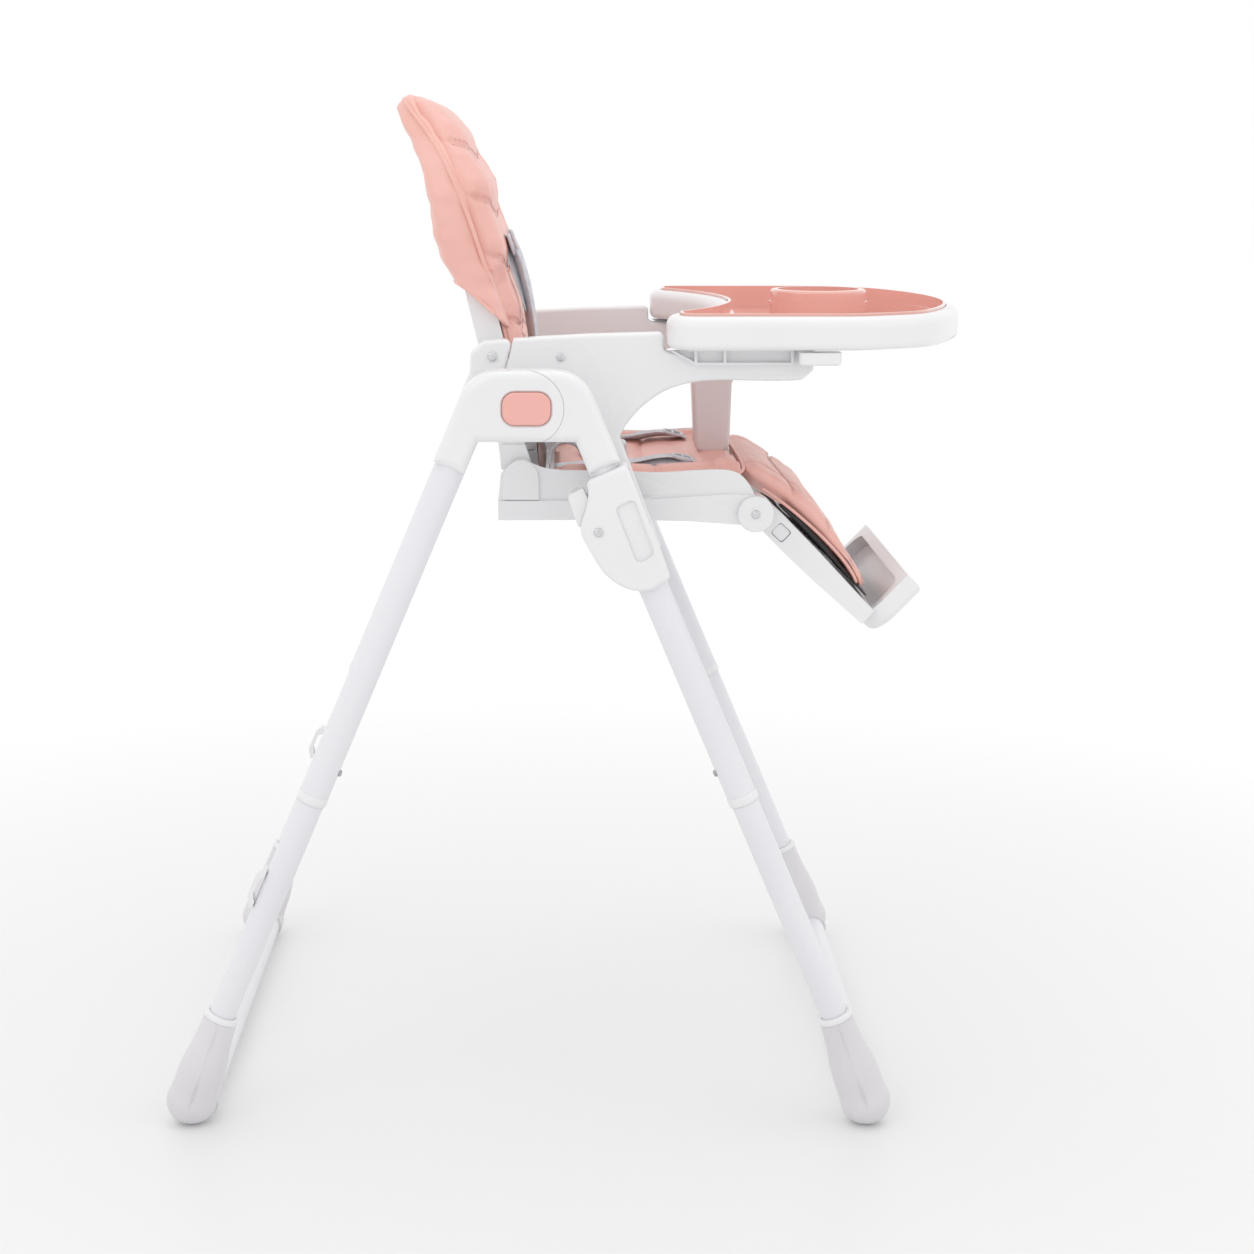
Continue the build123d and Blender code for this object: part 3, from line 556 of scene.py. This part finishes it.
def back_welts():
    """Piping along both sides and over the top, and the hem of the pouch."""
    path = []
    heights = [0.70, 0.73, 0.77, 0.81, 0.84, 0.86, 0.88, 0.905, 0.93, 0.955, 0.98, 1.0, 1.016,
               1.028, 1.036, 1.041]
    for z in heights:
        half = between([(0.692, 0.153), (0.71, 0.159), (0.84, 0.160), (0.866, 0.181),
                        (1.1, 0.182)], z)
        half = min(half, back_half(z, 0.182, 0.117))
        path.append(back_point(z, welt_depth(z), half))
    over = [Vector((x, path[-1].y + 0.0015, path[-1].z + 0.0015)) for x in (0.045, 0.0, -0.045)]
    mirrored = [Vector((-p.x, p.y, p.z)) for p in reversed(path)]
    tube("back_piping", path + over + mirrored, BACK_WELT, SLOTS["pink_leather"], "backrest")
    hem = []
    for k in range(25):
        angle = math.pi * k / 24
        x = 0.181 * math.copysign(abs(math.cos(angle)) ** 0.22, math.cos(angle))
        n = 0.002 + 0.0345 * abs(math.sin(angle)) ** 0.35
        hem.append(back_point(HEM_Z + 0.001 - hem_drop(n), n, x))
    tube("back_cover_hem", hem, HEM_WELT, SLOTS["pink_leather"], "backrest")


# Seat and leg rest cushions -----------------------------------------------------------------
SEAT_FRONT = -0.180
SEAT_LENGTH = 0.200
SEAT_HALF = 0.171
SEAT_SEAMS = (-0.135, -0.075, -0.015)          # quilting across the seat
SEAT_BOW = 0.02                                # how much it runs forward to the sides
SEAT_PANEL = 0.128                             # seams along the seat
SEAT_SEAM_DEPTH = 0.0042
SEAT_LINE = ((-0.196, 0.664), (-0.186, 0.6675), (-0.172, 0.6665), (-0.155, 0.662),
             (-0.135, 0.658), (-0.10, 0.656), (-0.04, 0.656), (0.0, 0.656), (0.020, 0.657))


def seat_cushion():
    """The seat pad: flat on the deck, rolled over its front edge, with raised sides."""
    rings = []
    for k in range(37):
        y = SEAT_FRONT + SEAT_LENGTH * k / 36
        top = between(SEAT_LINE, y)
        low = between([(-0.180, 0.6535), (-0.157, 0.6515), (-0.152, 0.6425), (0.022, 0.6425)], y)
        swell = min(1.0, 0.35 + (y + 0.180) / 0.02, 0.5 + (0.020 - y) / 0.02)
        middle = (top + low) / 2
        half_thick = max(0.003, (top - low) / 2 * swell)
        ring = []
        for x, n in oval(SEAT_HALF, -half_thick, half_thick, 0.3, 0.5):
            edge = max(0.0, (abs(x) - 0.115) / 0.055)
            lift = 0.008 * math.sin(min(edge, 1.0) * math.pi) if n > 0 else 0.0
            ring.append(Vector((x, y, middle + n + lift)))
        rings.append(ring)
    made = loft("seat_cushion", rings, SLOTS["pink_leather"], None)
    inflate(made, voxel=0.005, cap=0.004)

    def quilt(at, normal):
        up = max(0.0, normal.z)
        lines = 0.0
        for level in SEAT_SEAMS:
            bow = level - SEAT_BOW * (at.x / BOW_HALF) ** 2
            lines = max(lines, channel(at.y - bow, 0.004, 0.4, 0.012))
        for seam in (-SEAT_PANEL, SEAT_PANEL):
            lines = max(lines, channel(at.x - seam, 0.004, 0.4, 0.010))
        ruffle = noise.noise(Vector((at.x * 40, at.y * 60, at.z * 30)))
        return normal * (0.0010 * ruffle - SEAT_SEAM_DEPTH * lines) * up

    sculpt(made, quilt)
    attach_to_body(made, "seat_carriage")
    edge = [Vector((s * 0.1725, y, between(SEAT_LINE, y) - 0.006)) for s, y in
            [(-1, 0.0), (-1, -0.06), (-1, -0.11), (-1, -0.15), (-0.99, -0.172), (-0.9, -0.1815),
             (-0.4, -0.183), (0, -0.183), (0.4, -0.183), (0.9, -0.1815), (0.99, -0.172),
             (1, -0.15), (1, -0.11), (1, -0.06), (1, 0.0)]]
    tube("seat_piping", edge, SEAT_WELT, SLOTS["pink_leather"], "seat_carriage")
    return made


def rest_point(u, v, x):
    """u down the leg rest from its pivot, v up from it, x across."""
    along = Vector((0, -math.cos(REST_ANGLE), -math.sin(REST_ANGLE)))
    up = Vector((0, -math.sin(REST_ANGLE), math.cos(REST_ANGLE)))
    return REST_PIVOT + along * u + up * v + Vector((x, 0, 0))


KNEE = (          # stations of the leg cushion: its face and its lower edge, as (Y, Z)
    ((-0.178, 0.6640), (-0.178, 0.6560)), ((-0.190, 0.6655), (-0.183, 0.6515)),
    ((-0.203, 0.6605), (-0.190, 0.6455)), ((-0.216, 0.6530), (-0.200, 0.6400)),
    ((-0.239, 0.6380), (-0.216, 0.6300)), ((-0.260, 0.6190), (-0.237, 0.6135)),
    ((-0.275, 0.5970), (-0.255, 0.5975)), ((-0.286, 0.5770), (-0.269, 0.5840)),
    ((-0.297, 0.5600), (-0.283, 0.5690)), ((-0.307, 0.5460), (-0.293, 0.5560)),
    ((-0.3130, 0.5340), (-0.300, 0.5440)), ((-0.3100, 0.5290), (-0.3035, 0.5340)))
KNEE_HALF = 0.1455
LEG_SEAMS = (0.004, 0.058, 0.102)   # quilting across the leg rest, down from its pivot
LEG_BOW = 0.018
LEG_BOW_HALF = 0.146
LEG_PANEL = 0.105                   # seams along the leg rest
LEG_STITCH = 0.003
LEG_SEAM_DEPTH = 0.0048
LEG_RAY = 0.2                       # height above the leg rest that its threads drop from
LINER_TOP = ((0.020, 0.026), (0.050, 0.029), (0.085, 0.0260), (0.120, 0.0205), (0.145, 0.0180),
             (0.154, 0.0170))       # height of the liner's top, down the leg rest


def knee_station(t):
    """Face and edge points at t, counted in stations."""
    k = min(int(t), len(KNEE) - 2)
    share = t - k
    return [Vector((0, *KNEE[k][i])).lerp(Vector((0, *KNEE[k + 1][i])), share) for i in (0, 1)]


def leg_cushion():
    """The pad from the seat's front edge down the leg rest."""
    rings = []
    rows = 3 * (len(KNEE) - 1)
    for k in range(rows + 1):
        face, edge = knee_station(k / 3)
        swell = min(1.0, 0.3 + k / 4, 0.4 + (rows - k) / 4)
        middle = (face + edge) / 2
        rise = (face - edge) / 2 * swell
        rings.append([middle + rise * n + Vector((x, 0, 0)) for x, n in
                      oval(KNEE_HALF, -1.35, 1.0, 0.28, 0.6)])
    made = loft("leg_cushion", rings, SLOTS["pink_leather"], None)
    inflate(made, voxel=0.0045, cap=0.003)
    along = (rest_point(1, 0, 0) - rest_point(0, 0, 0)).normalized()
    up = (rest_point(0, 1, 0) - rest_point(0, 0, 0)).normalized()

    def quilt(at, normal):
        local = at - REST_PIVOT
        u, x = local.dot(along), at.x
        facing = max(0.0, normal.dot(up))
        lines = 0.0
        for level in LEG_SEAMS:
            bow = level + LEG_BOW * (x / LEG_BOW_HALF) ** 2
            lines = max(lines, channel(u - bow, 0.0035, 0.45, 0.011))
        for seam in (-LEG_PANEL, LEG_PANEL):
            lines = max(lines, channel(x - seam, 0.0035, 0.4, 0.010))
        folds = noise.noise(Vector((x * 14 + u * 60, u * 26, 3.0)))
        fine = noise.noise(Vector((x * 46, u * 70, 9.0)))
        crumple = 0.0019 * folds + 0.0006 * fine
        return normal * ((crumple - LEG_SEAM_DEPTH * lines) * max(facing, 0.2))

    sculpt(made, quilt)
    lines = []
    for level in LEG_SEAMS:
        for offset in (-LEG_STITCH, LEG_STITCH):
            lines.append([rest_point(level + offset + LEG_BOW * (x / LEG_BOW_HALF) ** 2,
                                     LEG_RAY, x) for x in spaced(-0.132, 0.132, 0.005)])
    thread = stitches("leg_stitches", made, lines, -up)
    for soft in (made, thread):
        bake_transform(soft)
    return made


def leg_liner():
    """The black liner under the leg rest's pad."""
    rings = []
    for k in range(25):
        u = 0.0215 + 0.131 * k / 24
        base = 0.0184 - 0.0039 * (u - 0.02) / 0.126
        top = between(LINER_TOP, u)
        rings.append([rest_point(u, (base + top) / 2 + n, x) for x, n in
                      oval(0.1450, -(top - base) / 2, (top - base) / 2, 0.15, 0.7)])
    liner = loft("leg_liner", rings, LINER, "leg_rest")


def leg_piping():
    """Piping around the lower edge of the leg rest's pad."""
    edge = []
    for side, order in ((-1, range(3, len(KNEE))), (1, range(len(KNEE) - 1, 2, -1))):
        for k in order:
            low = knee_station(k)[1]
            inset = 0.006 if k == len(KNEE) - 1 else 0.0
            edge.append(low + Vector((side * (KNEE_HALF + 0.001 - inset), 0.0, 0.001)))
    welt = tube("leg_piping", edge, LEG_WELT, SLOTS["pink_leather"], None)
    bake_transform(welt)


def lumbar_flap():
    """The liner that closes the gap between the seat and the back, over the recline hinge."""
    rings = []
    for k in range(13):
        share = k / 12
        y = 0.0270 + 0.0065 * share + 0.0025 * math.sin(share * math.pi)
        z = 0.647 + 0.048 * share
        rings.append([Vector((x, y + n, z)) for x, n in oval(0.150, -0.0012, 0.0012, 0.1, 0.8)])
    made = loft("lumbar_flap", rings, LINER, None)
    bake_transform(made)


# Harness ------------------------------------------------------------------------------------
WEB_THICK = 0.0012
WEB_HALF = 0.0125
HIP_HALF = 0.010         # half the width of the narrower hip loops
SHOULDER_X = 0.0705
WAIST_X = 0.1085
HIP_X = 0.150
SLIDE_HALF = 0.0155      # half a slide across its strap
SLIDE_REACH = 0.0105     # half a slide along its strap
FRAME_RADIUS = 0.0017    # wire of a slide's frame
BAR_RADIUS = 0.0014      # and of its middle bar
SLIDE_FRAME = ((-1, -0.6), (-1, 0), (-1, 0.6), (-0.7, 1), (0, 1), (0.7, 1), (1, 0.6), (1, 0),
               (1, -0.6), (0.7, -1), (0, -1), (-0.7, -1))


def in_plane(x, line):
    """The points of a (Y, Z) line at x."""
    return [Vector((x, y, z)) for y, z in line]


def strap(name, path, half, body, twist=0.0):
    """Flat webbing along a path of points; its middle is turned by twist about its length."""
    rows = []
    fine = []
    for first, last in zip(path, path[1:]):
        for k in range(6):
            fine.append(first.lerp(last, k / 6))
    fine.append(path[-1])
    for _ in range(4):
        inner = [(a + b + c) / 3 for a, b, c in zip(fine, fine[1:], fine[2:])]
        fine = [fine[0]] + inner + [fine[-1]]
    for k, point in enumerate(fine):
        ahead = fine[min(k + 1, len(fine) - 1)] - fine[max(k - 1, 0)]
        turn = twist * math.sin(math.pi * k / (len(fine) - 1))
        flat = Matrix.Rotation(turn, 3, ahead) @ Vector((1, 0, 0))
        up = ahead.cross(flat).normalized() * (WEB_THICK / 2)
        side = flat * half
        lip = flat * (half * 0.9)
        rows.append([point - side, point - lip + up, point + lip + up, point + side,
                     point + lip - up, point - lip - up])
    return loft(name, rows, SLOTS["pale_webbing"], body)


def tri_glide(name, at, along, body):
    """A three-bar slide: a rounded frame with a middle bar, lying along a strap."""
    along = along.normalized()
    flat = Vector((1, 0, 0))
    corners = [at + (flat * (SLIDE_HALF * sx) + along * (SLIDE_REACH * sy))
               for sx, sy in SLIDE_FRAME]
    tube(name, corners, FRAME_RADIUS, SLOTS["grey_plastic"], body, cyclic=True)
    bar = [at + flat * (SLIDE_HALF * s) for s in (-1, -0.4, 0.4, 1)]
    tube(name + "_bar", bar, BAR_RADIUS, SLOTS["grey_plastic"], body)


def harness():
    """Shoulder and waist webbing with its slides."""
    shoulders = []
    waists = []
    for side, word in SIDES:
        x = SHOULDER_X * side
        line = [(0.0745, 0.905), (0.0655, 0.895), (0.060, 0.884), (0.055, 0.868), (0.048, 0.842),
                (0.043, 0.815), (0.0395, 0.79), (0.036, 0.75), (0.033, 0.722), (0.031, 0.702)]
        shoulders.append(strap(f"shoulder_web_{word}", in_plane(x, line), WEB_HALF, "backrest",
                               0.38 * side))
        under = [(0.0715, 0.899), (0.066, 0.884), (0.058, 0.866), (0.0515, 0.845),
                 (0.046, 0.820)]
        strap(f"shoulder_tail_{word}", in_plane(x, under), WEB_HALF, "backrest", -0.35 * side)
        tri_glide(f"shoulder_slide_{word}", Vector((x, 0.0615, 0.889)),
                  Vector((0, -0.35, -1)), "backrest")
        x = WAIST_X * side
        line = [(0.016, 0.6605), (-0.01, 0.6615), (-0.045, 0.661), (-0.075, 0.6625),
                (-0.100, 0.668), (-0.118, 0.6665), (-0.134, 0.6640)]
        waists.append(strap(f"waist_web_{word}", in_plane(x, line), WEB_HALF, "seat_carriage",
                            -0.35 * side))
        loop = [(-0.118, 0.6675), (-0.105, 0.6715), (-0.085, 0.669), (-0.066, 0.6645),
                (-0.050, 0.6635)]
        strap(f"waist_tail_{word}", in_plane(x, loop), WEB_HALF, "seat_carriage")
        ear = [(0.021, 0.664), (0.020, 0.682), (0.008, 0.692), (-0.008, 0.688), (-0.016, 0.672),
               (-0.020, 0.6625)]
        strap(f"hip_loop_{word}", in_plane(side * HIP_X, ear), HIP_HALF, "seat_carriage",
              0.3 * side)
        tri_glide(f"waist_slide_{word}", Vector((x, -0.119, 0.6690)), Vector((0, -1, -0.2)),
                  "seat_carriage")
    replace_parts(shoulders[0], "shoulder_straps")
    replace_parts(waists[0], "waist_straps", "strap_slides")


# Trims on the frame -------------------------------------------------------------------------
def leg_frame(end):
    """Origin, direction down the leg and outward direction of a leg in its plane."""
    sign = -1 if end == "front" else 1
    down = Vector((0, sign * math.sin(LEG_ANGLE), -math.cos(LEG_ANGLE)))
    outward = Vector((0, sign * math.cos(LEG_ANGLE), math.sin(LEG_ANGLE)))
    return Vector((0, *APEX)), down, outward


LATHE_SIDES = 48


def lathe(name, origin, down, outward, x, profile, material, body):
    """Turns a profile of (along, radius) points about a leg's axis."""
    rings = []
    flat = Vector((1, 0, 0))
    for along, radius in profile:
        centre = origin + down * along + flat * x
        rings.append([centre + (outward * math.cos(math.tau * k / LATHE_SIDES)
                                + flat * math.sin(math.tau * k / LATHE_SIDES)) * radius
                      for k in range(LATHE_SIDES)])
    rings.append(rings[0])       # the profile comes back to its start
    return loft(name, rings, material, body, closed=False)


FOOT_RIM = 0.806         # rim of a foot, along the leg
SEAM = 0.550             # seam between upper and lower tube


def leg_trims():
    """Collars at the tube seams and the rims of the feet."""
    for end in ("front", "rear"):
        origin, down, outward = leg_frame(end)
        for side, word in SIDES:
            collar = [(SEAM - 0.0015, 0.01515), (SEAM + 0.001, 0.0157), (SEAM + 0.0065, 0.0157),
                      (SEAM + 0.0085, 0.0148), (SEAM + 0.0085, 0.0141), (SEAM + 0.0005, 0.0141),
                      (SEAM + 0.0002, 0.01505)]
            lathe(f"{end}_seam_collar_{word}", origin, down, outward, side * LEG_X, collar,
                  SLOTS["white_gloss"], f"{end}_frame")
            rim = [(FOOT_RIM - 0.0030, 0.0142), (FOOT_RIM - 0.0030, 0.0176),
                   (FOOT_RIM - 0.0018, 0.0186), (FOOT_RIM + 0.0022, 0.0188),
                   (FOOT_RIM + 0.0034, 0.0180), (FOOT_RIM - 0.0005, 0.0170),
                   (FOOT_RIM - 0.0005, 0.0142)]
            lathe(f"{end}_foot_rim_{word}", origin, down, outward, side * LEG_X, rim,
                  SLOTS["white_gloss"], f"{end}_frame")


def foot_seams():
    """The parting line down both sides of each foot."""
    toe_in = math.radians(3.0)
    bulge, end_round = 0.0975, 0.026
    profile = [(0.006, 0.0179), (0.018, 0.0185), (0.032, 0.0198), (0.047, 0.0219),
               (0.062, 0.0240), (0.080, 0.0256), (bulge, end_round)]
    profile += [(bulge + end_round * math.sin(a), end_round * math.cos(a))
                for a in (0.3, 0.6, 0.9)]
    for end in ("front", "rear"):
        origin, down, outward = leg_frame(end)
        along = down * math.cos(toe_in) - outward * math.sin(toe_in)
        for side, word in SIDES:
            rim = origin + down * FOOT_RIM + Vector((side * LEG_X, 0, 0))
            line = [rim + along * u + Vector((side * r, 0, 0)) for u, r in profile]
            tube(f"{end}_foot_seam_{word}", line, 0.00055, SLOTS["mauve_foot"],
                 f"{end}_frame")


# Stage --------------------------------------------------------------------------------------
FLOOR_HALF = 14.0
LAMPS = (         # name, place, target, width and power
    ("key", (-2.2, 1.6, 2.6), (0, 0, 0.6), 1.6, 7.0),
    ("top", (0.3, -0.3, 3.0), (0, 0, 0.5), 2.4, 9.0),
    ("front", (-1.2, -2.6, 1.6), (0, 0, 0.6), 1.4, 2.5))
CAMERA_AT = (-2.4886, 0.012, 0.98253)
CAMERA_DIP = 11.7836     # degrees below level
LENS = 65.14
SHIFT_X = 0.0546


def stage():
    """Flat pale floor, soft lights and the camera."""
    corners = [(-1, -1), (1, -1), (1, 1), (-1, 1)]
    verts = [(FLOOR_HALF * x, FLOOR_HALF * y, 0) for x, y in corners]
    floor = stage_piece("studio_floor", verts, [(0, 1, 2, 3)])
    world = bpy.data.worlds.new("studio")
    bpy.context.scene.world = world
    world.use_nodes = True
    world.node_tree.nodes["Background"].inputs["Color"].default_value = (1.0, 1.0, 1.0, 1.0)
    world.node_tree.nodes["Background"].inputs["Strength"].default_value = 1.0
    for name, spot, target, width, power in LAMPS:
        lamp = bpy.data.lights.new(name, "AREA")
        lamp.size = width
        lamp.energy = power
        holder = add_object(name, lamp)
        holder.location = spot
        toward = Vector(target) - Vector(spot)
        holder.rotation_euler = toward.to_track_quat("-Z", "Y").to_euler()
    lens = bpy.data.cameras.new("camera")
    lens.lens = LENS
    lens.sensor_width = 36.0
    lens.shift_x = SHIFT_X
    camera = add_object("camera", lens)
    camera.location = CAMERA_AT
    camera.rotation_euler = (math.radians(90 - CAMERA_DIP), 0, math.radians(-90))
    bpy.context.scene.camera = camera
    bpy.context.scene.view_settings.view_transform = "Standard"


def stage_piece(name, verts, faces):
    """A stage mesh with a pale material that is darker near the middle, a painted shadow around the
    chair, and lighter outward.
    """
    mesh = bpy.data.meshes.new(name)
    mesh.from_pydata(verts, [], faces)
    paint = principled("studio_paint", (0.9, 0.9, 0.9), 0.45,
                       emission_color=(1.0, 1.0, 1.0, 1.0), emission_strength=0.15)
    reach = node(paint, "ShaderNodeVectorMath", operation="LENGTH")
    link(paint, place(paint), reach.inputs[0])
    # painted shadow: the floor's colour is darkest near the middle and lightens out to about 2.4 m
    painted_floor_shadow = node(paint, "ShaderNodeMapRange", interpolation_type="SMOOTHSTEP")
    for socket, value in (("From Min", 0.5), ("From Max", 2.4), ("To Min", 0.67), ("To Max", 0.84)):
        painted_floor_shadow.inputs[socket].default_value = value
    link(paint, reach.outputs["Value"], painted_floor_shadow.inputs["Value"])
    shader = paint.node_tree.nodes["Principled BSDF"]
    link(paint, painted_floor_shadow.outputs["Result"], shader.inputs["Base Color"])
    mesh.materials.append(paint)
    return add_object(name, mesh)


dress_cad_nodes()
cushion = back_cushion()
back_cover()
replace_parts(cushion, "back_pad")
back_welts()
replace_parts(seat_cushion(), "seat_pad")
knee = leg_cushion()
leg_liner()
leg_piping()
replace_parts(knee, "leg_rest_pad")
lumbar_flap()
harness()
leg_trims()
foot_seams()
stage()
